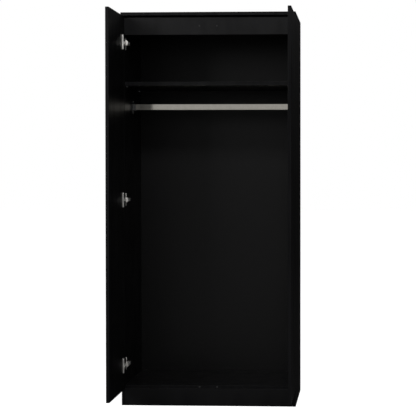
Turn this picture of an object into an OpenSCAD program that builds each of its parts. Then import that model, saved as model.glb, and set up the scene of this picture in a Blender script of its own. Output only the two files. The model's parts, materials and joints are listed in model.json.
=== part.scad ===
// Two-door wardrobe, shown with both doors open square to the front.
// Origin: centre of the footprint on the floor. Front towards -Y, +Z up.

/* [Cabinet] */
// Overall width
cabinet_w = 800; // [600:10:1000]
// Overall height
cabinet_h = 1800; // [1450:10:2200]
// Overall depth, from the front edge of the top to the back panel
cabinet_d = 510; // [400:10:640]
// Thickness of the cabinet and door boards
board_t = 15; // [15:1:19]
// Thickness of the back panel
back_t = 3; // [3:0.5:6]
// Margin of the back panel inside the cabinet's outline
back_margin = 1; // [0:0.5:4]
// Height of the plinth board and of the top rail
rail_h = 80; // [60:5:120]
// Gap between the top panel and the top rail
rail_gap = 7; // [2:1:20]

/* [Inside] */
// Clear height of the compartment above the shelf
top_space_h = 300; // [200:10:400]
// Thickness of the shelf
shelf_t = 18; // [12:1:22]
// Setback of the shelf from the cabinet's front plane
shelf_setback = 10; // [0:1:60]
// Clearance at each end of the shelf
shelf_end_gap = 0.5; // [0.2:0.1:2]
// Distance of the shelf pegs from the front and back planes
peg_inset = 60; // [30:5:120]
// Radius of a shelf peg
peg_r = 2.5; // [2:0.5:4]
// Length of a shelf peg, half of it in the side panel
peg_len = 16; // [12:1:20]

/* [Hanging rail] */
// Height of the flat-sided tube
tube_h = 30; // [24:1:34]
// Thickness of the tube, front to back
tube_d = 15; // [12:1:20]
// Radius of the tube's corners
tube_corner = 3; // [2.5:0.5:5]
// Wall of the tube
tube_wall = 1.2; // [0.8:0.1:2]
// Distance from the shelf's underside down to the tube's centre
tube_drop = 88; // [60:5:140]
// Distance from the front plane back to the tube's centre
tube_depth = 240; // [180:5:300]
// Thickness of the end bracket's plate
bracket_t = 3; // [2:0.5:5]
// Wall of the end bracket's collar
collar_wall = 2.4; // [1.5:0.1:4]
// Length of the end bracket's collar
collar_len = 12; // [8:1:20]
// Clearance of the tube in the collar
collar_gap = 0.3; // [0.1:0.1:0.8]
// Rise of the bracket's screw tab above the collar
tab_rise = 17; // [14:1:30]

/* [Doors] */
// Gap between the closed door and the cabinet's front plane
door_gap = 2; // [2:0.5:4]
// Distance of the closed door's hinge edge inside the cabinet's outer face
door_edge_inset = 1; // [0.5:0.5:3]
// Gap between the two closed doors
door_middle_gap = 3; // [2:0.5:6]
// Gap between the doors and the top panel
door_top_gap = 2; // [1:0.5:5]
// Overlap of the doors on the plinth board
door_lap = 4; // [2:1:20]

/* [Door hinges] */
// Distance of the lowest hinge from the door's lower end
hinge_low = 112; // [80:1:200]
// Distance of the highest hinge from the door's upper end
hinge_high = 121; // [80:1:200]
// Height of the middle hinge above the door's centre
hinge_lift = 15; // [-60:1:60]
// Distance of the hinge pin from the door's hinge edge
pin_inset = 5; // [4.8:0.1:5.2]
// Radius of the hinge pin
pin_r = 1.5; // [1.2:0.1:1.6]
// Running clearance of the arm on the pin
pin_gap = 0.05; // [0.02:0.01:0.1]
// Radius of the hinge cup
cup_r = 17.5; // [17.5, 13]
// Thickness of the cup's floor
cup_floor = 0.9; // [0.6:0.1:1.2]
// Wall of the hinge cup
cup_wall = 1; // [0.8:0.1:1.2]
// Distance from the door's edge to the cup's rim
cup_edge = 4.5; // [3:0.5:6]
// Length of the cup's flange
flange_len = 66; // [62:1:72]
// Thickness of the cup's flange
flange_t = 1.2; // [0.8:0.1:1.5]
// Distance between the two screws of a cup
cup_screw_pitch = 48; // [42:1:52]
// Width of the hinge arm
arm_w = 15; // [14:0.5:18]
// Height of the hinge arm above the side panel
arm_h = 16; // [14:0.5:20]
// Wall of the hinge arm
arm_wall = 1.4; // [1:0.1:2]
// Length of the hinge arm behind the front plane
arm_len = 68; // [60:1:90]
// Distance of the mounting plate's screws from the front plane
plate_depth = 37; // [37:1:40]
// Distance between the two screws of a mounting plate
plate_screw_pitch = 40; // [32:1:42]
// Thickness of the mounting plate's wings
plate_t = 2; // [1.5:0.1:3]

/* [Fasteners] */
// Clearance around a piece that is pressed or screwed in
press_gap = 0.02; // [0.01:0.01:0.05]
// Clearance of a cup or a cam in its bore
bore_gap = 0.1; // [0.05:0.05:0.2]
// Clearance between pieces that slide over each other
slide_gap = 0.3; // [0.2:0.1:0.6]
// Radius of a cam lock
cam_r = 7.5; // [6:0.5:8]
// Thickness of the board that is left behind a cam lock
cam_skin = 3; // [2:0.5:4]
// Radius of a cam bolt
cam_bolt_r = 3; // [2.5:0.5:3.5]
// Distance from the joint to the cam's centre
cam_reach = 34; // [24:1:34]
// Radius of a dowel
dowel_r = 4; // [3:0.5:4]
// Length of a dowel
dowel_len = 30; // [25:1:40]
// Depth of a dowel or cam bolt in the face of a board
face_depth = 10; // [8:1:11]
// Distance of the cams from the front and back planes
cam_inset = 60; // [40:5:120]
// Greatest spacing of the nails round the back panel
nail_pitch = 170; // [100:10:250]
// Radius of a back panel nail
nail_r = 0.8; // [0.6:0.1:1.2]
// Length of a back panel nail
nail_len = 20; // [15:1:30]
// Thickness of a door bumper
bumper_t = 1.5; // [1:0.1:1.7]
// Radius of a door bumper
bumper_r = 4; // [3:0.5:6]

/* [Hidden] */
$fn = 48;

black_board = [0.05, 0.05, 0.055];
black_back = [0.09, 0.09, 0.095];
nickel = [0.74, 0.73, 0.70];
chrome = [0.82, 0.82, 0.83];
zinc = [0.62, 0.62, 0.64];
beech = [0.72, 0.56, 0.38];
eps = 0.01;
left = -1;
right = 1;

// Doors
door_h = cabinet_h - board_t - door_top_gap - (rail_h - door_lap);
door_z = rail_h - door_lap;
door_w = (cabinet_w - 2 * door_edge_inset - door_middle_gap) / 2;
hinge_zs = [
    door_z + hinge_low,
    door_z + door_h / 2 + hinge_lift,
    door_z + door_h - hinge_high
];

// The pin is placed so that the open door lies flush with the cabinet's side.
// "in" is measured from the side's outer face, "out" forward from the front plane.
pin_in = door_edge_inset + pin_inset;
pin_deep = board_t - pin_in;
pin_out = door_gap + pin_deep;
open_in = pin_in + pin_deep;
open_out = pin_out - pin_inset;

// Cabinet planes
overhang = door_gap + board_t;
carcass_d = cabinet_d - overhang - back_t;
door_reach = open_out + door_w;
front_y = (door_reach - carcass_d - back_t) / 2;
back_y = front_y + carcass_d;
inner_w = cabinet_w - 2 * board_t;
side_h = cabinet_h - board_t;
rail_z = side_h - rail_gap - rail_h;
shelf_top = side_h - top_space_h;
shelf_z = shelf_top - shelf_t;
tube_z = shelf_z - tube_drop;
tube_y = front_y + tube_depth;
tube_len = inner_w - 2 * (bracket_t + collar_gap);

// Hinge details
knuckle_r = pin_r + 1.3;
neck_t = 3.2;
neck_w = 12;
pocket_w = neck_w + 4 * slide_gap;
pocket_in = pin_inset - knuckle_r - slide_gap;
cup_depth = pin_deep + knuckle_r + slide_gap + cup_floor;
cup_center = cup_edge + cup_r;
cup_screw_in = cup_center + 9.5;
flange_w = 30;
flange_corner = 2;
flange_edge = cup_center + cup_r + 6.5;
lip_w = 2;
lip_h = 4.5;
flange_start = pin_inset - 2.6;
screw_r = 1.8;
screw_head_r = 3.6;
screw_head_t = 1.2;
cup_screw_len = 10;
plate_screw_len = 11;
spine_w = arm_w - 2 * (arm_wall + slide_gap);
spine_h = arm_h - arm_wall - slide_gap;
spine_len = arm_len - plate_depth + 10;
ear_w = 23;
ear_t = 4.5;
ear_outs = [-9, -1];
wing_w = 12;
arm_lift = 3.5;
nose_len = 7;
arm_screw_r = 2;
arm_screw_len = 7;
arm_screw_outs = [-(plate_depth - 4), -(arm_len - 14)];

// Cams: two per joint
cam_depth = board_t - cam_skin;
cam_ys = [front_y + cam_inset, back_y - cam_inset];
dowel_zs = [rail_h / 4, 3 * rail_h / 4];
bracket_screw_zs = [0, tube_h / 2 + collar_gap + collar_wall + tab_rise / 2];
bracket_w = tube_d + 2 * (collar_gap + collar_wall);
bracket_screw_len = 10;
bumper_zs = [rail_h + board_t / 2, rail_z + rail_h / 2];

// ---------- shared shapes ----------

// Box from one corner to the opposite one
module block(low, high) {
    translate(low) cube(high - low);
}

// Bar with round ends, standing on z = 0, its long way along Y
module stadium(length, width, height) {
    linear_extrude(height) {
        square([width, length - width], center = true);
        for (end = [-1, 1]) translate([0, end * (length - width) / 2]) circle(d = width);
    }
}

// Bar with rounded corners, standing on z = 0, its long way along Y
module soft_bar(length, width, corner, height) {
    linear_extrude(height) {
        square([width, length - 2 * corner], center = true);
        square([width - 2 * corner, length], center = true);
        for (x = [-1, 1], y = [-1, 1])
            translate([x * (width / 2 - corner), y * (length / 2 - corner)]) circle(r = corner);
    }
}

// Cylinder along X from its own origin
module x_rod(r, length) {
    rotate([0, 90, 0]) cylinder(r = r, h = length);
}

// Cylinder along Y from its own origin
module y_rod(r, length) {
    rotate([-90, 0, 0]) cylinder(r = r, h = length);
}

// Straight bar with round ends between two points of a plane
module link_2d(a, b, width) {
    run = b - a;
    translate(a) rotate(atan2(run.y, run.x)) translate([0, -width / 2]) square([norm(run), width]);
    translate(a) circle(d = width);
    translate(b) circle(d = width);
}

// What is drawn for the right side is mirrored for the left one
module on_side(side) {
    mirror([side == left ? 1 : 0, 0, 0]) children();
}

// Frame of a side's hinges: X inward from the outer face, Y forward from the front plane
module hinge_frame(side, z) {
    on_side(side) translate([cabinet_w / 2, front_y, z]) rotate([0, 0, 180]) children();
}

// Frame of an open door: X from its hinge edge along the board, Y from its inner to its outer face
module door_frame(side, z) {
    hinge_frame(side, z) translate([open_in, open_out, 0]) rotate([0, 0, 90]) children();
}

// ---------- joints of the cabinet ----------

// Bolts from the side panels into the ends of the bottom panel
module bottom_cam_bolts(grow) {
    for (side = [left, right], y = cam_ys)
        on_side(side) translate([inner_w / 2 + face_depth, y, rail_h + board_t / 2])
            rotate([0, 0, 180]) x_rod(cam_bolt_r + grow, face_depth + cam_reach - cam_r / 2);
}

// Cams in the underside of the bottom panel
module bottom_cams(grow) {
    for (side = [left, right], y = cam_ys)
        on_side(side) translate([inner_w / 2 - cam_reach, y, rail_h - grow])
            cylinder(r = cam_r + grow, h = cam_depth + 2 * grow);
}

// Bolts from the top panel down into the side panels
module top_cam_bolts(grow) {
    for (side = [left, right], y = cam_ys)
        on_side(side) translate([(cabinet_w - board_t) / 2, y, side_h - cam_reach + cam_r / 2])
            cylinder(r = cam_bolt_r + grow, h = cam_reach - cam_r / 2 + face_depth);
}

// Cams in the inner faces of the side panels
module top_cams(grow) {
    for (side = [left, right], y = cam_ys)
        on_side(side) translate([inner_w / 2 - grow, y, side_h - cam_reach])
            x_rod(cam_r + grow, cam_depth + 2 * grow);
}

// Dowels between the side panels and the ends of the plinth board and top rail
module rail_dowels(grow) {
    for (side = [left, right], base = [0, rail_z], z = dowel_zs)
        on_side(side) translate([inner_w / 2 + face_depth, front_y + board_t / 2, base + z])
            rotate([0, 0, 180]) x_rod(dowel_r + grow, dowel_len);
}

// Pegs under the shelf
module peg_set(grow) {
    for (side = [left, right], y = [front_y + peg_inset, back_y - peg_inset])
        on_side(side) translate([inner_w / 2 - peg_len / 2, y, shelf_z - peg_r])
            x_rod(peg_r + grow, peg_len + grow);
}

// Nails round the edge of the back panel
module nail_set(grow) {
    tall = side_h - board_t;
    wide = cabinet_w - 4 * board_t;
    tall_count = ceil(tall / nail_pitch);
    wide_count = ceil(wide / nail_pitch);
    for (side = [left, right], i = [0:tall_count])
        translate([side * (cabinet_w - board_t) / 2, 0, board_t + i * (tall - board_t) / tall_count])
            back_nail(grow);
    for (z = [rail_h + board_t / 2, cabinet_h - board_t / 2], i = [0:wide_count])
        translate([-wide / 2 + i * wide / wide_count, 0, z]) back_nail(grow);
}

// One nail, its head flush with the back panel
module back_nail(grow) {
    head_t = 0.6;
    translate([0, back_y + back_t - nail_len, 0]) y_rod(nail_r + grow, nail_len, $fn = 16);
    translate([0, back_y + back_t - head_t, 0]) y_rod(2 * nail_r + grow, head_t + grow, $fn = 16);
}

// Screws of one rail bracket
module bracket_screws(side, grow) {
    for (z = bracket_screw_zs)
        on_side(side) translate([inner_w / 2, tube_y, tube_z + z]) {
            translate([-bracket_t, 0, 0]) x_rod(screw_r + grow, bracket_t + bracket_screw_len, $fn = 24);
            if (grow == 0) translate([-bracket_t - screw_head_t, 0, 0]) x_rod(screw_head_r, screw_head_t);
        }
}

// Screws that hold a side's mounting plates
module plate_screws(side, grow) {
    for (z = hinge_zs, end = [-1, 1])
        hinge_frame(side, z) translate([board_t, -plate_depth, end * plate_screw_pitch / 2]) {
            translate([plate_t - plate_screw_len, 0, 0])
                x_rod(screw_r + grow, plate_screw_len + (grow > 0 ? eps : 0), $fn = 24);
            if (grow == 0) translate([plate_t, 0, 0]) x_rod(screw_head_r, screw_head_t);
        }
}

// Screws that hold a door's hinge cups
module cup_screws(side, grow) {
    for (z = hinge_zs, end = [-1, 1])
        door_frame(side, z) translate([cup_screw_in, -flange_t, end * cup_screw_pitch / 2]) {
            y_rod(screw_r + grow, flange_t + cup_screw_len, $fn = 24);
            if (grow == 0) translate([0, -screw_head_t, 0]) y_rod(screw_head_r, screw_head_t);
        }
}

// ---------- cabinet boards ----------

module side_panel(side) {
    color(black_board) difference() {
        on_side(side) block([inner_w / 2, front_y, 0], [cabinet_w / 2, back_y, side_h]);
        bottom_cam_bolts(press_gap);
        top_cams(bore_gap);
        top_cam_bolts(press_gap);
        rail_dowels(press_gap);
        peg_set(press_gap);
        nail_set(press_gap);
        bracket_screws(side, press_gap);
        plate_screws(side, press_gap);
    }
}

module top_panel() {
    color(black_board) difference() {
        block([-cabinet_w / 2, front_y - overhang, side_h], [cabinet_w / 2, back_y, cabinet_h]);
        top_cam_bolts(press_gap);
        nail_set(press_gap);
    }
}

module bottom_panel() {
    color(black_board) difference() {
        block([-inner_w / 2, front_y, rail_h], [inner_w / 2, back_y, rail_h + board_t]);
        bottom_cam_bolts(press_gap);
        bottom_cams(bore_gap);
        nail_set(press_gap);
    }
}

// Board between the sides at the front, used as the plinth and as the top rail
module front_board(z) {
    color(black_board) difference() {
        block([-inner_w / 2, front_y, z], [inner_w / 2, front_y + board_t, z + rail_h]);
        rail_dowels(press_gap);
    }
}

module back_panel() {
    color(black_back) difference() {
        block([back_margin - cabinet_w / 2, back_y, back_margin],
              [cabinet_w / 2 - back_margin, back_y + back_t, cabinet_h - back_margin]);
        nail_set(press_gap);
    }
}

module shelf() {
    half = inner_w / 2 - shelf_end_gap;
    color(black_board) block([-half, front_y + shelf_setback, shelf_z], [half, back_y, shelf_top]);
}

// ---------- cabinet fittings ----------

// Cams, each with the hole that takes the head of its bolt
module cam_locks() {
    color(zinc) difference() {
        union() {
            bottom_cams(0);
            top_cams(0);
        }
        bottom_cam_bolts(press_gap);
        top_cam_bolts(press_gap);
    }
}

module cam_bolts() {
    color(zinc) bottom_cam_bolts(0);
    color(zinc) top_cam_bolts(0);
}

module rail_bracket_screws() {
    color(zinc) for (side = [left, right]) bracket_screws(side, 0);
}

// Socket that holds one end of the tube
module rail_bracket(side) {
    collar_h = tube_h + 2 * (collar_gap + collar_wall);
    color(zinc) difference() {
        on_side(side) translate([inner_w / 2, tube_y, tube_z]) rotate([0, -90, 0]) rotate([0, 0, 90]) {
            soft_bar(collar_h, bracket_w, tube_corner + collar_gap + collar_wall, bracket_t + collar_len);
            stadium_tab(collar_h / 2 + tab_rise, bracket_t);
        }
        on_side(side) translate([inner_w / 2 - bracket_t, tube_y, tube_z])
            rotate([0, -90, 0]) rotate([0, 0, 90])
                soft_bar(tube_h + 2 * collar_gap, tube_d + 2 * collar_gap, tube_corner + collar_gap,
                         collar_len + eps);
        bracket_screws(side, press_gap);
    }
}

// Tab that rises from the collar's centre to a round end
module stadium_tab(rise, height) {
    translate([0, (rise - bracket_w / 2) / 2, 0]) linear_extrude(height) {
        square([bracket_w, rise - bracket_w / 2], center = true);
        translate([0, (rise - bracket_w / 2) / 2]) circle(d = bracket_w);
    }
}

module hanging_rail() {
    color(chrome) translate([-tube_len / 2, tube_y, tube_z]) rotate([90, 0, 90]) difference() {
        soft_bar(tube_h, tube_d, tube_corner, tube_len);
        translate([0, 0, -eps])
            soft_bar(tube_h - 2 * tube_wall, tube_d - 2 * tube_wall, tube_corner - tube_wall,
                     tube_len + 2 * eps);
    }
}

// Bumpers near the doors' free edges, on the bottom panel and on the top rail
module door_bumpers() {
    color(black_back) for (side = [left, right], z = bumper_zs)
        translate([side * 10 * bumper_r, front_y - bumper_t, z]) y_rod(bumper_r, bumper_t);
}

// ---------- doors and hinges ----------

// Space that a hinge cup takes in the door
module cup_body(grow) {
    pocket_half = pocket_w / 2 + cup_wall + grow;
    rotate([-90, 0, 0]) translate([cup_center, 0, 0]) cylinder(r = cup_r + grow, h = cup_depth + grow);
    block([pocket_in - cup_wall - grow, 0, -pocket_half], [cup_center, cup_depth + grow, pocket_half]);
}

module door(side) {
    color(black_board) difference() {
        door_frame(side, door_z) block([0, 0, 0], [door_w, board_t, door_h]);
        for (z = hinge_zs) door_frame(side, z) translate([0, -eps, 0]) cup_body(bore_gap);
        cup_screws(side, press_gap);
    }
}

// Wings of the cup's flange, with a straight edge away from the hinge
module flange_bar(height) {
    rotate([-90, 0, 0]) translate([flange_edge - flange_w / 2, 0, 0])
        soft_bar(flange_len, flange_w, flange_corner, height);
}

// Cup with its flange, which has a raised lip; the pocket towards the door's edge holds the pin
module hinge_cup(side, z) {
    color(nickel) difference() {
        door_frame(side, z) difference() {
            union() {
                cup_body(0);
                intersection() {
                    translate([0, -flange_t, 0]) union() {
                        rotate([-90, 0, 0]) translate([cup_center, 0, 0])
                            cylinder(r = cup_r + 2, h = flange_t);
                        flange_bar(flange_t);
                    }
                    block([flange_start, -flange_t, -flange_len], [flange_edge + eps, 0, flange_len]);
                }
                intersection() {
                    translate([0, -lip_h, 0]) flange_bar(lip_h);
                    block([flange_edge - lip_w, -lip_h, -flange_len], [flange_edge + eps, 0, flange_len]);
                }
            }
            rotate([-90, 0, 0]) translate([cup_center, 0, -flange_t - eps])
                cylinder(r = cup_r - cup_wall, h = cup_depth - cup_floor + flange_t);
            block([pocket_in, -flange_t - eps, -pocket_w / 2],
                  [cup_center, cup_depth - cup_floor, pocket_w / 2]);
            translate([pin_inset, pin_deep, -board_t]) cylinder(r = pin_r + press_gap, h = 2 * board_t);
        }
        cup_screws(side, press_gap);
    }
}

// Pins of a side's hinges, held in the walls of the cups
module hinge_pins(side) {
    half = pocket_w / 2 + cup_wall;
    color(zinc) for (z = hinge_zs)
        door_frame(side, z) translate([pin_inset, pin_deep, -half]) cylinder(r = pin_r, h = 2 * half);
}

// Outline of the arm's bent neck, from the pin round the front of the side panel
module neck_2d() {
    pin = [pin_in, pin_out];
    neck_in = board_t + arm_lift + neck_t / 2;
    bend = 3;
    link_2d(pin, [neck_in - bend, pin_out], neck_t);
    link_2d([neck_in - bend, pin_out], [neck_in, pin_out - bend], neck_t);
    link_2d([neck_in, pin_out - bend], [neck_in, -nose_len / 2], neck_t);
    translate(pin) circle(r = knuckle_r);
}

// Arm: a channel over the mounting plate, with a nose that carries the neck and has two ears
module hinge_arm(side, z) {
    top = board_t + arm_h;
    low = board_t + arm_lift;
    color(nickel) hinge_frame(side, z) difference() {
        union() {
            translate([0, 0, -neck_w / 2]) linear_extrude(neck_w) neck_2d();
            block([low, -arm_len, -arm_w / 2], [top, 0, arm_w / 2]);
            block([top - 4 - ear_t, ear_outs[0], -ear_w / 2], [top - 4, ear_outs[1], ear_w / 2]);
        }
        block([low - eps, -arm_len - eps, -arm_w / 2 + arm_wall],
              [top - arm_wall, -nose_len, arm_w / 2 - arm_wall]);
        translate([pin_in, pin_out, -board_t]) cylinder(r = pin_r + pin_gap, h = 2 * board_t);
        for (out = arm_screw_outs)
            translate([top - 2 * arm_wall, out, 0]) x_rod(arm_screw_r + slide_gap, 3 * arm_wall);
    }
}

// Plate on the side panel: two wings with screws and a spine under the arm
module hinge_plate(side, z) {
    wing_len = plate_screw_pitch + wing_w + 8;
    color(nickel) difference() {
        hinge_frame(side, z) difference() {
            union() {
                translate([board_t, -plate_depth, 0]) rotate([90, 0, 90]) stadium(wing_len, wing_w, plate_t);
                translate([board_t, -plate_depth + 10 - spine_len, -spine_w / 2])
                    cube([spine_h, spine_len, spine_w]);
            }
            for (out = arm_screw_outs)
                translate([board_t + spine_h - arm_screw_len, out, 0])
                    x_rod(arm_screw_r + press_gap, arm_screw_len + eps);
        }
        plate_screws(side, press_gap);
    }
}

// Screws that clamp a side's arms to their plates
module arm_screws(side) {
    color(zinc) for (z = hinge_zs, out = arm_screw_outs)
        hinge_frame(side, z) {
            translate([board_t + spine_h - arm_screw_len, out, 0])
                x_rod(arm_screw_r, arm_screw_len + slide_gap + arm_wall);
            translate([board_t + arm_h, out, 0]) x_rod(screw_head_r, screw_head_t);
        }
}

// ---------- the pieces ----------

side_panel(left);  // side_panel_left
side_panel(right);  // side_panel_right
top_panel();
bottom_panel();
front_board(0);  // plinth_board
front_board(rail_z);  // top_rail
back_panel();
shelf();
color(zinc) peg_set(0);  // shelf_pegs
cam_locks();
cam_bolts();
color(beech) rail_dowels(0);  // dowels
color(zinc) nail_set(0);  // back_nails
hanging_rail();
rail_bracket(left);  // rail_bracket_left
rail_bracket(right);  // rail_bracket_right
rail_bracket_screws();
door_bumpers();
door(left);  // door_left
door(right);  // door_right
hinge_cup(left, hinge_zs[0]);  // hinge_cup_left_bottom
hinge_cup(left, hinge_zs[1]);  // hinge_cup_left_middle
hinge_cup(left, hinge_zs[2]);  // hinge_cup_left_top
hinge_cup(right, hinge_zs[0]);  // hinge_cup_right_bottom
hinge_cup(right, hinge_zs[1]);  // hinge_cup_right_middle
hinge_cup(right, hinge_zs[2]);  // hinge_cup_right_top
hinge_arm(left, hinge_zs[0]);  // hinge_arm_left_bottom
hinge_arm(left, hinge_zs[1]);  // hinge_arm_left_middle
hinge_arm(left, hinge_zs[2]);  // hinge_arm_left_top
hinge_arm(right, hinge_zs[0]);  // hinge_arm_right_bottom
hinge_arm(right, hinge_zs[1]);  // hinge_arm_right_middle
hinge_arm(right, hinge_zs[2]);  // hinge_arm_right_top
hinge_plate(left, hinge_zs[0]);  // hinge_plate_left_bottom
hinge_plate(left, hinge_zs[1]);  // hinge_plate_left_middle
hinge_plate(left, hinge_zs[2]);  // hinge_plate_left_top
hinge_plate(right, hinge_zs[0]);  // hinge_plate_right_bottom
hinge_plate(right, hinge_zs[1]);  // hinge_plate_right_middle
hinge_plate(right, hinge_zs[2]);  // hinge_plate_right_top
hinge_pins(left);  // hinge_pins_left
hinge_pins(right);  // hinge_pins_right
color(zinc) cup_screws(left, 0);  // cup_screws_left
color(zinc) cup_screws(right, 0);  // cup_screws_right
color(zinc) plate_screws(left, 0);  // plate_screws_left
color(zinc) plate_screws(right, 0);  // plate_screws_right
arm_screws(left);  // arm_screws_left
arm_screws(right);  // arm_screws_right
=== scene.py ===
import json
from math import pi, radians

import bpy
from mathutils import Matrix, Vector


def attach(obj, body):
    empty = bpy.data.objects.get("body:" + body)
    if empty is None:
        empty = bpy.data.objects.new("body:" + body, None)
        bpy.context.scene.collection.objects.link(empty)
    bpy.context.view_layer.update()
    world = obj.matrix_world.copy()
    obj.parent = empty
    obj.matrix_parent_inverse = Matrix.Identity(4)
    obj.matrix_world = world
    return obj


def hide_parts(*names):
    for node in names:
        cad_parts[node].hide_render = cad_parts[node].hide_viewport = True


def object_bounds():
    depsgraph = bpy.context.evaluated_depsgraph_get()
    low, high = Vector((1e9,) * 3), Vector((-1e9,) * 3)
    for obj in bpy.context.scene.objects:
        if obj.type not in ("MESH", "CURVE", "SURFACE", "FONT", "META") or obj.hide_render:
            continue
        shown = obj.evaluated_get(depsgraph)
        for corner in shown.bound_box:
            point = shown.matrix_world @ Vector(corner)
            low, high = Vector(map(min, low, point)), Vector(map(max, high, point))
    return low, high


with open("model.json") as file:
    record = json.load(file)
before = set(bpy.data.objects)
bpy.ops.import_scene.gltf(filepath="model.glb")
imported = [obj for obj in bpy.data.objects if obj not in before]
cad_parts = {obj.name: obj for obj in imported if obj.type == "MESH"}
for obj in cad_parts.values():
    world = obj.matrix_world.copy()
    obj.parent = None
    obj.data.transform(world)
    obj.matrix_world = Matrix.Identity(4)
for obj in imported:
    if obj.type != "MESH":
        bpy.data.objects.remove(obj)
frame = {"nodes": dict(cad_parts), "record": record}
cadBounds = [list(corner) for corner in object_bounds()]
print("frame loaded:", len(frame["nodes"]), "nodes")


# working by hand, in code

def deselectAll():
    active = bpy.context.view_layer.objects.active
    if active and active.mode != "OBJECT":
        bpy.ops.object.mode_set(mode="OBJECT")
    bpy.ops.object.select_all(action="DESELECT")


def makeActive(piece):
    deselectAll()
    piece.select_set(True)
    bpy.context.view_layer.objects.active = piece


def editAll(piece):
    makeActive(piece)
    bpy.ops.object.mode_set(mode="EDIT")
    bpy.ops.mesh.select_mode(type="VERT")
    bpy.ops.mesh.select_all(action="SELECT")


def pick(piece, kind, test):
    # leaves the piece in edit mode with only what passes the test selected
    makeActive(piece)
    bpy.ops.object.mode_set(mode="EDIT")
    bpy.ops.mesh.select_mode(type=kind)
    bpy.ops.mesh.select_all(action="DESELECT")
    bpy.ops.object.mode_set(mode="OBJECT")
    mesh = piece.data
    for item in {"VERT": mesh.vertices, "EDGE": mesh.edges, "FACE": mesh.polygons}[kind]:
        item.select = bool(test(item))
    bpy.ops.object.mode_set(mode="EDIT")


def endEdit():
    bpy.ops.object.mode_set(mode="OBJECT")


def meshBox(piece):
    points = [vert.co for vert in piece.data.vertices]
    return (Vector([min(point[axis] for point in points) for axis in range(3)]),
            Vector([max(point[axis] for point in points) for axis in range(3)]))


def settle(piece, place=(0, 0, 0), turn=(0, 0, 0)):
    # puts the piece in place and bakes the place into its mesh
    piece.location = place
    piece.rotation_euler = turn
    makeActive(piece)
    bpy.ops.object.transform_apply(location=True, rotation=True, scale=True)


def copyOf(piece, name):
    double = bpy.data.objects.new(name, piece.data.copy())
    bpy.context.scene.collection.objects.link(double)
    return double


def joinAll(pieces, name):
    deselectAll()
    for piece in pieces:
        piece.select_set(True)
    bpy.context.view_layer.objects.active = pieces[0]
    if len(pieces) > 1:
        bpy.ops.object.join()
    bpy.context.object.name = name
    return bpy.context.object


def remove(piece):
    bpy.data.objects.remove(piece, do_unlink=True)


def applyModifier(piece, kind, **settings):
    makeActive(piece)
    modifier = piece.modifiers.new("step", kind)
    for setting, value in settings.items():
        setattr(modifier, setting, value)
    bpy.ops.object.modifier_apply(modifier=modifier.name)


def cutAway(piece, cutter):
    applyModifier(piece, "BOOLEAN", operation="DIFFERENCE", solver="EXACT", object=cutter)
    remove(cutter)


def finishShading(piece, angle=32):
    # smooth over the small rounds while the flat faces stay flat
    makeActive(piece)
    bpy.ops.object.shade_smooth_by_angle(angle=radians(angle))
    applyModifier(piece, "WEIGHTED_NORMAL", keep_sharp=True, weight=80)


def cleanCopy(node, name):
    # the node's own shape as a new piece, its loose triangles merged into whole faces
    piece = bpy.data.objects.new(name, frame["nodes"][node].data.copy())
    bpy.context.scene.collection.objects.link(piece)
    editAll(piece)
    bpy.ops.mesh.remove_doubles(threshold=1e-6)
    bpy.ops.mesh.dissolve_limited(angle_limit=0.01)
    endEdit()
    return piece


def islandsOf(node):
    # the box of each separate solid of a node, as lowest and highest corner
    piece = cleanCopy(node, "measure")
    editAll(piece)
    bpy.ops.mesh.separate(type="LOOSE")
    endEdit()
    parts = list(bpy.context.selected_objects)
    boxes = [meshBox(part) for part in parts]
    for part in parts:
        remove(part)
    return sorted(boxes, key=lambda box: tuple(round(value, 5) for value in box[0]))


def turnOnLathe(name, profile, steps=24):
    # profile: radius and height of each point, turned about Z from pole to pole
    deselectAll()
    bpy.ops.mesh.primitive_plane_add(size=0.001)
    piece = bpy.context.object
    piece.name = name
    editAll(piece)
    bpy.ops.mesh.merge(type="CENTER")
    radius, height = profile[0]
    bpy.ops.transform.translate(value=(radius, 0, height))
    for nextRadius, nextHeight in profile[1:]:
        bpy.ops.mesh.extrude_vertices_move(
            TRANSFORM_OT_translate={"value": (nextRadius - radius, 0, nextHeight - height)})
        radius, height = nextRadius, nextHeight
    bpy.ops.mesh.select_all(action="SELECT")
    bpy.ops.mesh.spin(steps=steps, angle=2 * pi, center=(0, 0, 0), axis=(0, 0, 1))
    bpy.ops.mesh.select_all(action="SELECT")
    bpy.ops.mesh.remove_doubles(threshold=1e-6)
    bpy.ops.mesh.normals_make_consistent(inside=False)
    endEdit()
    return piece


def crossCutter(width, blade, depth):
    # the point of a cross driver, its tip at -depth and its end a little above zero
    above = 0.0005
    deselectAll()
    bpy.ops.mesh.primitive_cube_add(size=1)
    cutter = bpy.context.object
    cutter.scale = (blade, blade, depth + above)
    settle(cutter, (0, 0, (above - depth) / 2))
    for axis, side in ((0, -1), (0, 1), (1, -1), (1, 1)):
        pick(cutter, "FACE", lambda face: face.normal[axis] * side > 0.9
             and abs(face.center[1 - axis]) < 1e-6 and abs(face.center[axis]) < blade)
        reach = [0, 0, 0]
        reach[axis] = side * (width - blade) / 2
        bpy.ops.mesh.extrude_region_move(TRANSFORM_OT_translate={"value": reach})
        endEdit()
    pick(cutter, "VERT", lambda vert: vert.co.z < -depth / 2)
    bpy.ops.transform.resize(value=(0.62, 0.62, 1), center_override=(0, 0, -depth))
    endEdit()
    return cutter


# materials

def newMaterial(name, colour, roughness, **sockets):
    material = bpy.data.materials.new(name)
    material.use_nodes = True
    shader = material.node_tree.nodes["Principled BSDF"]
    shader.inputs["Base Color"].default_value = (*colour, 1)
    shader.inputs["Roughness"].default_value = roughness
    for socket, value in sockets.items():
        shader.inputs[socket.replace("_", " ")].default_value = value
    return material


def addNode(material, kind, **inputs):
    node = material.node_tree.nodes.new(kind)
    for name, value in inputs.items():
        node.inputs[name.replace("_", " ")].default_value = value
    return node


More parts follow.
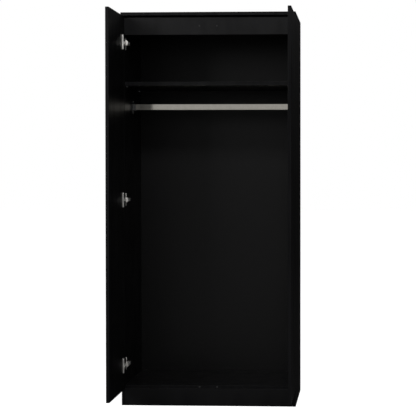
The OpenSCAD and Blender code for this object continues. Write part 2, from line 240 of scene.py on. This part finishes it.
def noisePattern(material, scale, detail=4, stretch=(1, 1, 1), roughness=0.55):
    link = material.node_tree.links.new
    place = addNode(material, "ShaderNodeTexCoord")
    mapping = addNode(material, "ShaderNodeMapping", Scale=stretch)
    noise = addNode(material, "ShaderNodeTexNoise", Scale=scale, Detail=detail, Roughness=roughness)
    link(place.outputs["Object"], mapping.inputs["Vector"])
    link(mapping.outputs["Vector"], noise.inputs["Vector"])
    return noise.outputs["Fac"]


def colourBetween(material, pattern, dark, light, start=0.3, end=0.7):
    node = addNode(material, "ShaderNodeValToRGB")
    stops = node.color_ramp.elements
    stops[0].position, stops[1].position = start, end
    stops[0].color, stops[1].color = (*dark, 1), (*light, 1)
    material.node_tree.links.new(pattern, node.inputs["Fac"])
    return node.outputs["Color"]


def valueBetween(material, pattern, low, high):
    node = addNode(material, "ShaderNodeMapRange", From_Min=0.3, From_Max=0.7, To_Min=low, To_Max=high)
    material.node_tree.links.new(pattern, node.inputs["Value"])
    return node.outputs["Result"]


def feed(material, socket, value):
    material.node_tree.links.new(value, material.node_tree.nodes["Principled BSDF"].inputs[socket])


def addRelief(material, patterns, strength=0.3):
    # several height patterns, each with its depth in metres, one over the other
    link = material.node_tree.links.new
    under = None
    for pattern, depth in patterns:
        bump = addNode(material, "ShaderNodeBump", Distance=depth, Strength=strength)
        link(pattern, bump.inputs["Height"])
        if under:
            link(under, bump.inputs["Normal"])
        under = bump.outputs["Normal"]
    feed(material, "Normal", under)


foil = {"dark": (0.0022, 0.0022, 0.0026), "light": (0.0038, 0.0037, 0.0041), "gloss": (0.3, 0.42),
        "shine": 0.16, "pearl": 0.00005, "marks": 0.00004}


def makeFoil():
    # satin foil on the boards: fine pearl, faint clouds and handling marks
    material = newMaterial("satinBlackFoil", foil["dark"], 0.35, Specular_IOR_Level=foil["shine"])
    cloud = noisePattern(material, 3.5, detail=5)
    pearl = noisePattern(material, 900, detail=2)
    marks = noisePattern(material, 14, detail=6, stretch=(1, 1, 0.35))
    feed(material, "Base Color", colourBetween(material, cloud, foil["dark"], foil["light"]))
    feed(material, "Roughness", valueBetween(material, marks, *foil["gloss"]))
    addRelief(material, [(pearl, foil["pearl"]), (marks, foil["marks"])])
    return material


band = {"dark": (0.0022, 0.0022, 0.0026), "light": (0.004, 0.004, 0.0045), "gloss": (0.28, 0.42),
        "shine": 0.11, "drawn": 0.00004}


def makeBand():
    # plastic band on the boards' narrow sides, drawn along its length
    material = newMaterial("blackEdgeBand", band["dark"], 0.35, Specular_IOR_Level=band["shine"])
    drawn = noisePattern(material, 60, detail=3, stretch=(1, 1, 0.04))
    pearl = noisePattern(material, 1100, detail=2)
    feed(material, "Base Color", colourBetween(material, drawn, band["dark"], band["light"]))
    feed(material, "Roughness", valueBetween(material, drawn, *band["gloss"]))
    addRelief(material, [(pearl, band["drawn"]), (drawn, band["drawn"])])
    return material


hardboard = {"dark": (0.0012, 0.0012, 0.0013), "light": (0.0021, 0.002, 0.0022), "gloss": (0.28, 0.38),
             "shine": 0.22, "fibre": 0.00005}


def makeHardboard():
    # lacquered hardboard of the back, its pressed fibre just showing
    material = newMaterial("blackHardboard", hardboard["dark"], 0.5, Specular_IOR_Level=hardboard["shine"])
    cloud = noisePattern(material, 2.2, detail=6)
    fibre = noisePattern(material, 420, detail=5, stretch=(1, 1, 0.5), roughness=0.7)
    feed(material, "Base Color", colourBetween(material, cloud, hardboard["dark"], hardboard["light"]))
    feed(material, "Roughness", valueBetween(material, fibre, *hardboard["gloss"]))
    addRelief(material, [(fibre, hardboard["fibre"])])
    return material


def makeMetal(name, dark, light, gloss, lineScale, stretch, depth):
    # plated metal: tone from the plating, gloss and relief from the lines of rolling or polishing
    material = newMaterial(name, light, gloss[0], Metallic=1.0)
    lines = noisePattern(material, lineScale, detail=3, stretch=stretch)
    cloud = noisePattern(material, 60, detail=4)
    feed(material, "Base Color", colourBetween(material, cloud, dark, light))
    feed(material, "Roughness", valueBetween(material, lines, *gloss))
    addRelief(material, [(lines, depth)])
    return material


rubber = {"dark": (0.014, 0.014, 0.014), "light": (0.026, 0.026, 0.026), "gloss": (0.6, 0.8),
          "shine": 0.3, "grain": 0.00003}


def makeRubber():
    material = newMaterial("softBlackBumper", rubber["dark"], 0.7, Specular_IOR_Level=rubber["shine"])
    grain = noisePattern(material, 1500, detail=2)
    feed(material, "Base Color", colourBetween(material, grain, rubber["dark"], rubber["light"]))
    feed(material, "Roughness", valueBetween(material, grain, *rubber["gloss"]))
    addRelief(material, [(grain, rubber["grain"])])
    return material


beech = {"dark": (0.42, 0.26, 0.14), "light": (0.64, 0.46, 0.29), "gloss": (0.5, 0.7), "fleck": 0.00006}


def makeBeech():
    # beech with short dark flecks along the dowel, which lies along X
    material = newMaterial("beechDowel", beech["light"], 0.55)
    flecks = noisePattern(material, 700, detail=3, stretch=(0.08, 1, 1))
    feed(material, "Base Color", colourBetween(material, flecks, beech["dark"], beech["light"]))
    feed(material, "Roughness", valueBetween(material, flecks, *beech["gloss"]))
    addRelief(material, [(flecks, beech["fleck"])])
    return material


blackFoil = makeFoil()
blackBand = makeBand()
blackBack = makeHardboard()
nickelPlate = makeMetal("nickelPlate", (0.76, 0.745, 0.71), (0.87, 0.855, 0.82), (0.4, 0.52),
                        300, (1, 1, 0.05), 0.00002)
chromePlate = makeMetal("chromePlate", (0.7, 0.67, 0.6), (0.76, 0.73, 0.66), (0.06, 0.11),
                        500, (0.03, 1, 1), 0.000005)
zincPlate = makeMetal("zincPlate", (0.5, 0.51, 0.52), (0.64, 0.65, 0.66), (0.28, 0.42),
                      260, (1, 1, 1), 0.00002)
castZinc = makeMetal("castZinc", (0.2, 0.2, 0.2), (0.28, 0.28, 0.275), (0.35, 0.5),
                     700, (1, 1, 1), 0.00004)
softBumper = makeRubber()
beechDowel = makeBeech()
print("materials made")


# which body a piece takes over from its node; the piece gets its own materials and the node is hidden

bodies = frame["record"]["behaviour"]["bodies"]


def standFor(piece, node, *materials):
    piece.data.materials.clear()
    for material in materials:
        piece.data.materials.append(material)
    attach(piece, next(body for body, nodes in bodies.items() if node in nodes))
    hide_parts(node)


# boards

board = {"arris": 0.0008, "arrisSteps": 3, "backArris": 0.0004, "backSteps": 2}


def softenOutline(piece, radius, steps):
    # only the board's outer edges are eased, so its bores stay sharp
    low, high = meshBox(piece)
    verts = piece.data.vertices

    def onOutline(edge):
        ends = [verts[index].co for index in edge.vertices]
        planes = [1 for axis in range(3) for plane in (low, high)
                  if all(abs(end[axis] - plane[axis]) < 1e-6 for end in ends)]
        return len(planes) > 1

    pick(piece, "EDGE", onOutline)
    bpy.ops.mesh.bevel(offset=radius, segments=steps, profile=0.5, affect="EDGES", clamp_overlap=True)
    endEdit()


def bandNarrowSides(piece):
    # the edge band goes on every face that doesn't look along the board's thickness
    low, high = meshBox(piece)
    thin = min(range(3), key=lambda axis: high[axis] - low[axis])
    for face in piece.data.polygons:
        face.material_index = 0 if abs(face.normal[thin]) > 0.95 else 1


for boardNode in ("side_panel_left", "side_panel_right", "top_panel", "bottom_panel", "plinth_board",
                  "top_rail", "shelf", "door_left", "door_right"):
    boardPiece = cleanCopy(boardNode, boardNode + "_board")
    softenOutline(boardPiece, board["arris"], board["arrisSteps"])
    standFor(boardPiece, boardNode, blackFoil, blackBand)
    bandNarrowSides(boardPiece)
    finishShading(boardPiece)

backSheet = cleanCopy("back_panel", "back_panel_sheet")
softenOutline(backSheet, board["backArris"], board["backSteps"])
standFor(backSheet, "back_panel", blackBack)
finishShading(backSheet)
print("boards made")


# screws, nails, bolts, pegs, dowels and bumpers

def finishGroup(copies, node, ending, material, angle=40):
    # the separate fasteners of a node become one piece
    piece = joinAll(copies, node + ending)
    standFor(piece, node, material)
    finishShading(piece, angle)


def towardsMiddle(low, high):
    # which way along X the middle of the cabinet lies from a piece on its side
    return 1 if (low + high).x < 0 else -1


def setAlongX(piece, low, high):
    # turns a piece made downwards from z = 0 so that its head faces the middle of the cabinet
    inward = towardsMiddle(low, high)
    middle = (low + high) / 2
    settle(piece, (high.x if inward > 0 else low.x, middle.y, middle.z), (0, inward * pi / 2, 0))


cupScrew = {"head": 0.0036, "tall": 0.0012, "shank": 0.0018, "root": 0.0012, "pitch": 0.0016,
            "neck": 0.0014, "point": 0.0018, "cross": (0.0038, 0.0009, 0.0010)}
armScrew = {"head": 0.0036, "tall": 0.0012, "shank": 0.0020, "root": 0.0017, "pitch": 0.0009,
            "neck": 0.0016, "point": 0.0006, "cross": (0.0040, 0.0010, 0.0010)}


def makeScrews(node, look):
    head, tall, shank = look["head"], look["tall"], look["shank"]
    boxes = islandsOf(node)
    length = boxes[0][1].x - boxes[0][0].x
    profile = [(0, 0), (0.5 * head, -0.03 * tall), (0.8 * head, -0.16 * tall), (0.94 * head, -0.42 * tall),
               (head, -0.75 * tall), (head, -tall), (shank, -tall)]
    depth = tall + look["neck"]
    profile.append((shank, -depth))
    while depth + look["pitch"] < length - look["point"]:
        profile.append((look["root"], -depth - 0.35 * look["pitch"]))
        depth += look["pitch"]
        profile.append((shank, -depth))
    profile += [(look["root"], -depth - 0.0002), (look["root"], look["point"] - length), (0, -length)]
    master = turnOnLathe("screw_master", profile, 20)
    cutAway(master, crossCutter(*look["cross"]))
    copies = []
    for low, high in boxes:
        copies.append(copyOf(master, "screw_one"))
        setAlongX(copies[-1], low, high)
    remove(master)
    finishGroup(copies, node, "_turned", zincPlate)


for side in ("left", "right"):
    makeScrews("cup_screws_" + side, cupScrew)
    makeScrews("plate_screws_" + side, cupScrew)
    makeScrews("arm_screws_" + side, armScrew)
makeScrews("rail_bracket_screws", cupScrew)

nail = {"head": 0.0016, "tall": 0.0006, "shank": 0.0008, "point": 0.0016,
        "rings": 5, "ringStart": 0.004, "ringPitch": 0.0018}


def makeNails(node):
    boxes = islandsOf(node)
    length = boxes[0][1].y - boxes[0][0].y
    head, tall, shank = nail["head"], nail["tall"], nail["shank"]
    profile = [(0, 0), (0.7 * head, -0.05 * tall), (head, -0.35 * tall), (head, -tall), (shank, -tall)]
    for ring in range(nail["rings"]):
        depth = nail["ringStart"] + ring * nail["ringPitch"]
        profile += [(shank, -depth), (0.85 * shank, -depth - 0.0003)]
    profile += [(shank, nail["point"] - length), (0, -length)]
    master = turnOnLathe("nail_master", profile, 10)
    copies = []
    for low, high in boxes:
        copies.append(copyOf(master, "nail_one"))
        settle(copies[-1], ((low.x + high.x) / 2, high.y, (low.z + high.z) / 2), (-pi / 2, 0, 0))
    remove(master)
    finishGroup(copies, node, "_driven", zincPlate)


makeNails("back_nails")

pin = {"ease": 0.0003, "waist": 0.0001, "land": 0.0018}


def makePins(node):
    copies = []
    for low, high in islandsOf(node):
        radius, length = (high.x - low.x) / 2, high.z - low.z
        waist, land = radius - pin["waist"], pin["land"]
        profile = [(0, length), (radius - pin["ease"], length), (radius, length - pin["ease"]),
                   (radius, length - land), (waist, length - land - 0.0002), (waist, land + 0.0002),
                   (radius, land), (radius, pin["ease"]), (radius - pin["ease"], 0), (0, 0)]
        one = turnOnLathe("pin_one", profile, 20)
        settle(one, ((low.x + high.x) / 2, (low.y + high.y) / 2, low.z))
        copies.append(one)
    finishGroup(copies, node, "_turned", zincPlate)


for side in ("left", "right"):
    makePins("hinge_pins_" + side)

bolt = {"thread": 0.010, "pitch": 0.0016, "root": 0.0022, "crest": 0.0030, "collar": 0.0029,
        "shank": 0.0023, "neck": 0.0016, "head": 0.0029}


def makeBolts(node):
    # each is threaded in the face of one board, its neck and round head in the cam of the other
    copies = []
    for low, high in islandsOf(node):
        size = high - low
        upright = size.z > size.x
        length = size.z if upright else size.x
        threadStart = length - bolt["thread"]
        profile = [(0, 0), (0.6 * bolt["head"], -0.0004), (bolt["head"], -0.0014), (bolt["head"], -0.0026),
                   (0.7 * bolt["head"], -0.0034), (bolt["neck"], -0.0038), (bolt["neck"], -0.0068),
                   (bolt["shank"], -0.0074), (bolt["shank"], 0.0024 - threadStart),
                   (bolt["collar"], 0.0022 - threadStart), (bolt["collar"], 0.0004 - threadStart)]
        depth = threadStart
        for turn in range(int((bolt["thread"] - 0.0018) / bolt["pitch"])):
            profile += [(bolt["root"], -depth - 0.0004), (bolt["crest"], -depth - 0.7 * bolt["pitch"])]
            depth += bolt["pitch"]
        profile += [(bolt["root"], -depth), (0.7 * bolt["root"], 0.0006 - length), (0, -length)]
        one = turnOnLathe("bolt_one", profile, 16)
        if upright:
            settle(one, ((low.x + high.x) / 2, (low.y + high.y) / 2, low.z), (pi, 0, 0))
        else:
            setAlongX(one, low, high)
        copies.append(one)
    finishGroup(copies, node, "_turned", zincPlate)


makeBolts("cam_bolts")

peg = {"ease": 0.0005, "groove": 0.0003, "grooveWide": 0.0006, "grooveFromMiddle": 0.004}


def makePegs(node):
    copies = []
    for low, high in islandsOf(node):
        radius, length = (high.z - low.z) / 2, high.x - low.x
        profile = [(0, 0), (radius - peg["ease"], 0), (radius, -peg["ease"])]
        for middle in (length / 2 - peg["grooveFromMiddle"], length / 2 + peg["grooveFromMiddle"]):
            profile += [(radius, peg["grooveWide"] - middle), (radius - peg["groove"], -middle),
                        (radius, -peg["grooveWide"] - middle)]
        profile += [(radius, peg["ease"] - length), (radius - peg["ease"], -length), (0, -length)]
        one = turnOnLathe("peg_one", profile, 24)
        setAlongX(one, low, high)
        copies.append(one)
    finishGroup(copies, node, "_turned", zincPlate)


makePegs("shelf_pegs")

dowel = {"sides": 36, "ease": 0.001, "flute": 0.0003, "fluteMargin": 0.00012}


def makeDowels(node):
    boxes = islandsOf(node)
    low, high = boxes[0]
    half = (high.x - low.x) / 2
    deselectAll()
    bpy.ops.mesh.primitive_cylinder_add(vertices=dowel["sides"], radius=(high.z - low.z) / 2,
                                        depth=2 * half)
    master = bpy.context.object
    verts = master.data.vertices
    pick(master, "EDGE", lambda edge: len({round(verts[index].co.z, 6) for index in edge.vertices}) == 1)
    bpy.ops.mesh.bevel(offset=dowel["ease"], segments=1, affect="EDGES", clamp_overlap=True)
    endEdit()
    sides = [face.index for face in master.data.polygons
             if abs(face.normal.z) < 0.1 and face.area > half * 0.0002]
    pick(master, "FACE", lambda face: face.index in sides[::3])
    bpy.ops.mesh.inset(thickness=dowel["fluteMargin"], depth=-dowel["flute"], use_individual=True)
    endEdit()
    copies = []
    for low, high in boxes:
        copies.append(copyOf(master, "dowel_one"))
        settle(copies[-1], (low + high) / 2, (0, pi / 2, 0))
    remove(master)
    finishGroup(copies, node, "_fluted", beechDowel, 25)


makeDowels("dowels")

bumper = {"dome": 0.0007}


def makeBumpers(node):
    copies = []
    for low, high in islandsOf(node):
        radius, tall, dome = (high.x - low.x) / 2, high.y - low.y, bumper["dome"]
        profile = [(0, tall), (0.45 * radius, tall - 0.06 * dome), (0.75 * radius, tall - 0.3 * dome),
                   (0.92 * radius, tall - 0.62 * dome), (radius, tall - dome), (radius, 0), (0, 0)]
        one = turnOnLathe("bumper_one", profile, 28)
        settle(one, ((low.x + high.x) / 2, high.y, (low.z + high.z) / 2), (pi / 2, 0, 0))
        copies.append(one)
    finishGroup(copies, node, "_moulded", softBumper)


makeBumpers("door_bumpers")
print("turned pieces made")


# pressed and cast fittings

def roundSharpEdges(piece, radius, steps=2, sharpness=28):
    makeActive(piece)
    bpy.ops.object.mode_set(mode="EDIT")
    bpy.ops.mesh.select_mode(type="EDGE")
    bpy.ops.mesh.select_all(action="DESELECT")
    bpy.ops.mesh.edges_select_sharp(sharpness=radians(sharpness))
    bpy.ops.mesh.bevel(offset=radius, segments=steps, profile=0.5, affect="EDGES", clamp_overlap=True)
    endEdit()


def pressPanel(piece, inward, face, rim, depth):
    # presses the flat face that looks inward, leaving a raised rim round its outline and holes
    pick(piece, "FACE", lambda found: found.normal.x * inward > 0.99 and abs(found.center.x - face) < 1e-5)
    bpy.ops.mesh.inset(thickness=rim, depth=-depth)
    endEdit()


camLock = {"cross": (0.0090, 0.0020, 0.0022), "ease": 0.0003}


def makeCamLocks(node):
    piece = cleanCopy(node, node + "_cast")
    roundSharpEdges(piece, camLock["ease"])
    master = crossCutter(*camLock["cross"])
    cutters = []
    for low, high in islandsOf(node):
        size = high - low
        cutters.append(copyOf(master, "cam_cutter"))
        if size.z < size.x:   # under the bottom panel, its slot looks down
            settle(cutters[-1], ((low.x + high.x) / 2, (low.y + high.y) / 2, low.z), (pi, 0, 0))
        else:                 # in the inner face of a side panel
            setAlongX(cutters[-1], low, high)
    remove(master)
    cutAway(piece, joinAll(cutters, "cam_cutters"))
    standFor(piece, node, zincPlate)
    finishShading(piece)


makeCamLocks("cam_locks")

hinge = {"round": 0.00022, "rim": 0.0009, "press": 0.0002, "notchLong": 0.0085, "notchWide": 0.0062}


def makeArm(node):
    # stamped channel with a pressed panel on top and a notch for the clip at its rear end
    piece = cleanCopy(node, node + "_stamped")
    low, high = meshBox(piece)
    inward = towardsMiddle(low, high)
    top = high.x if inward > 0 else low.x
    notchEnd = high.y - hinge["notchLong"] + hinge["notchWide"] / 2
    deselectAll()
    bpy.ops.mesh.primitive_cylinder_add(vertices=24, radius=hinge["notchWide"] / 2, depth=0.006)
    notch = bpy.context.object
    settle(notch, (top, notchEnd, (low.z + high.z) / 2), (0, pi / 2, 0))
    pick(notch, "VERT", lambda vert: vert.co.y > notchEnd + 1e-5)
    bpy.ops.transform.translate(value=(0, hinge["notchLong"], 0))
    endEdit()
    cutAway(piece, notch)
    editAll(piece)
    bpy.ops.mesh.remove_doubles(threshold=1e-6)
    bpy.ops.mesh.dissolve_limited(angle_limit=0.01)
    endEdit()
    pressPanel(piece, inward, top, hinge["rim"], hinge["press"])
    roundSharpEdges(piece, hinge["round"])
    standFor(piece, node, nickelPlate)
    finishShading(piece)


def makePlate(node):
    piece = cleanCopy(node, node + "_cast")
    roundSharpEdges(piece, hinge["round"])
    standFor(piece, node, nickelPlate)
    finishShading(piece)


def makeCup(node):
    # drawn cup: the flange keeps a raised rim round its outline, cup and screws
    piece = cleanCopy(node, node + "_drawn")
    inward = towardsMiddle(*meshBox(piece))
    flat = [face for face in piece.data.polygons if face.normal.x * inward > 0.99]
    flange = max(flat, key=lambda face: face.area)
    pressPanel(piece, inward, flange.center.x, hinge["rim"], hinge["press"])
    roundSharpEdges(piece, hinge["round"])
    standFor(piece, node, nickelPlate)
    finishShading(piece)


for side in ("left", "right"):
    for level in ("bottom", "middle", "top"):
        makeCup(f"hinge_cup_{side}_{level}")
        makeArm(f"hinge_arm_{side}_{level}")
        makePlate(f"hinge_plate_{side}_{level}")
print("hinges made")

rail = {"lip": 0.0003, "socketRound": 0.0006, "socketSteps": 3}


def makeRail():
    tube = cleanCopy("hanging_rail", "hanging_rail_tube")
    roundSharpEdges(tube, rail["lip"])
    standFor(tube, "hanging_rail", chromePlate)
    finishShading(tube)
    for side in ("left", "right"):
        socket = cleanCopy("rail_bracket_" + side, f"rail_bracket_{side}_cast")
        roundSharpEdges(socket, rail["socketRound"], rail["socketSteps"])
        standFor(socket, "rail_bracket_" + side, castZinc)
        finishShading(socket)


makeRail()
print("rail made")


# floor, lights and camera

studio = {
    "floorSize": 60, "floorColour": (0.9, 0.9, 0.9), "floorGlow": 0.92,
    "floorBounce": (0.04, 0.5), "floorBounceFrom": (0.2, -0.7),
    "lightFrom": (-0.25, -0.96, 0.0), "skyDim": 0.004, "skyBright": 0.46, "skyEdge": (0.2, 0.95),
    "sideBright": 0.3, "sideEdge": (0.4, 0.9),
    "cameraPlace": (0.7135, -6.5532, 1.0883), "cameraTilt": -1.085, "cameraTurn": 2.939,
    "cameraLens": 123.84, "cameraShift": (-0.2, -0.03),
    "keyPlace": (-3.0, -5.4, 2.4), "keySize": (1.6, 1.6), "keyPower": 70,
    "fillPlace": (0.5, -5.8, 5.2), "fillSize": (0.9, 0.9), "fillPower": 210,
    "backPlace": (3.0, 5.0, 4.5), "backSize": (3.0, 3.0), "backPower": 30,
}


def mixByCamera(nodes, link, others, seen):
    # one shader for what the camera sees of a backdrop, another for what it sends on
    path = nodes.new("ShaderNodeLightPath")
    mix = nodes.new("ShaderNodeMixShader")
    link(path.outputs["Is Camera Ray"], mix.inputs["Fac"])
    link(others, mix.inputs[1])
    link(seen, mix.inputs[2])
    return mix.outputs["Shader"]


def makeFloor():
    # pale and glowing a little, so that it stays white; it sends light back only in front of the doors
    deselectAll()
    bpy.ops.mesh.primitive_plane_add(size=studio["floorSize"])
    floor = bpy.context.object
    floor.name = "floor"
    settle(floor, (0, 0, cadBounds[0][2]))
    paint = newMaterial("palePaint", studio["floorColour"], 0.9, Specular_IOR_Level=0.0,
                        Emission_Color=(1, 1, 1, 1), Emission_Strength=studio["floorGlow"])
    nodes, link = paint.node_tree.nodes, paint.node_tree.links.new
    bounce = nodes.new("ShaderNodeBsdfDiffuse")
    place = nodes.new("ShaderNodeTexCoord")
    split = nodes.new("ShaderNodeSeparateXYZ")
    fade = nodes.new("ShaderNodeMapRange")
    fade.inputs["From Min"].default_value, fade.inputs["From Max"].default_value = studio["floorBounceFrom"]
    fade.inputs["To Min"].default_value, fade.inputs["To Max"].default_value = studio["floorBounce"]
    link(place.outputs["Object"], split.inputs["Vector"])
    link(split.outputs["Y"], fade.inputs["Value"])
    link(fade.outputs["Result"], bounce.inputs["Color"])
    link(mixByCamera(nodes, link, bounce.outputs["BSDF"], nodes["Principled BSDF"].outputs["BSDF"]),
         nodes["Material Output"].inputs["Surface"])
    floor.data.materials.append(paint)


def makeSky():
    # white where the camera looks past the wardrobe; it lights softly from the front and both sides
    world = bpy.data.worlds.new("softStudio")
    bpy.context.scene.world = world
    world.use_nodes = True
    nodes, link = world.node_tree.nodes, world.node_tree.links.new
    nodes.clear()
    place = nodes.new("ShaderNodeTexCoord")
    facing = nodes.new("ShaderNodeVectorMath")
    facing.operation = "DOT_PRODUCT"
    facing.inputs[1].default_value = Vector(studio["lightFrom"]).normalized()
    rise = nodes.new("ShaderNodeMapRange")
    rise.interpolation_type = "SMOOTHSTEP"
    rise.inputs["From Min"].default_value, rise.inputs["From Max"].default_value = studio["skyEdge"]
    rise.inputs["To Min"].default_value = studio["skyDim"]
    rise.inputs["To Max"].default_value = studio["skyBright"]
    split = nodes.new("ShaderNodeSeparateXYZ")
    sideways = nodes.new("ShaderNodeMath")
    sideways.operation = "ABSOLUTE"
    sides = nodes.new("ShaderNodeMapRange")
    sides.interpolation_type = "SMOOTHSTEP"
    sides.inputs["From Min"].default_value, sides.inputs["From Max"].default_value = studio["sideEdge"]
    sides.inputs["To Max"].default_value = studio["sideBright"]
    total = nodes.new("ShaderNodeMath")
    soft = nodes.new("ShaderNodeBackground")
    seen = nodes.new("ShaderNodeBackground")
    seen.inputs["Color"].default_value = (1, 1, 1, 1)
    out = nodes.new("ShaderNodeOutputWorld")
    link(place.outputs["Generated"], facing.inputs[0])
    link(facing.outputs["Value"], rise.inputs["Value"])
    link(place.outputs["Generated"], split.inputs["Vector"])
    link(split.outputs["X"], sideways.inputs[0])
    link(sideways.outputs["Value"], sides.inputs["Value"])
    link(rise.outputs["Result"], total.inputs[0])
    link(sides.outputs["Result"], total.inputs[1])
    link(total.outputs["Value"], soft.inputs["Strength"])
    mixed = mixByCamera(nodes, link, soft.outputs["Background"], seen.outputs["Background"])
    link(mixed, out.inputs["Surface"])


def addSoftbox(name, place, target, size, power):
    deselectAll()
    bpy.ops.object.light_add(type="AREA", location=place)
    light = bpy.context.object
    light.name = name
    light.data.shape = "RECTANGLE"
    light.data.size, light.data.size_y = size
    light.data.energy = power
    light.rotation_euler = (Vector(target) - Vector(place)).to_track_quat("-Z", "Y").to_euler()


def makeCamera():
    deselectAll()
    turn = (radians(90 + studio["cameraTilt"]), 0, radians(studio["cameraTurn"]))
    bpy.ops.object.camera_add(location=studio["cameraPlace"], rotation=turn)
    camera = bpy.context.object
    camera.data.sensor_width = 36
    camera.data.lens = studio["cameraLens"]
    camera.data.shift_x, camera.data.shift_y = studio["cameraShift"]
    bpy.context.scene.camera = camera


makeFloor()
makeSky()
makeCamera()
middle = (0, 0, (cadBounds[0][2] + cadBounds[1][2]) / 2)
for box in ("key", "fill", "back"):
    addSoftbox("softbox" + box.title(), studio[box + "Place"], middle, studio[box + "Size"],
               studio[box + "Power"])
bpy.context.scene.view_settings.view_transform = "Standard"
print("studio made")
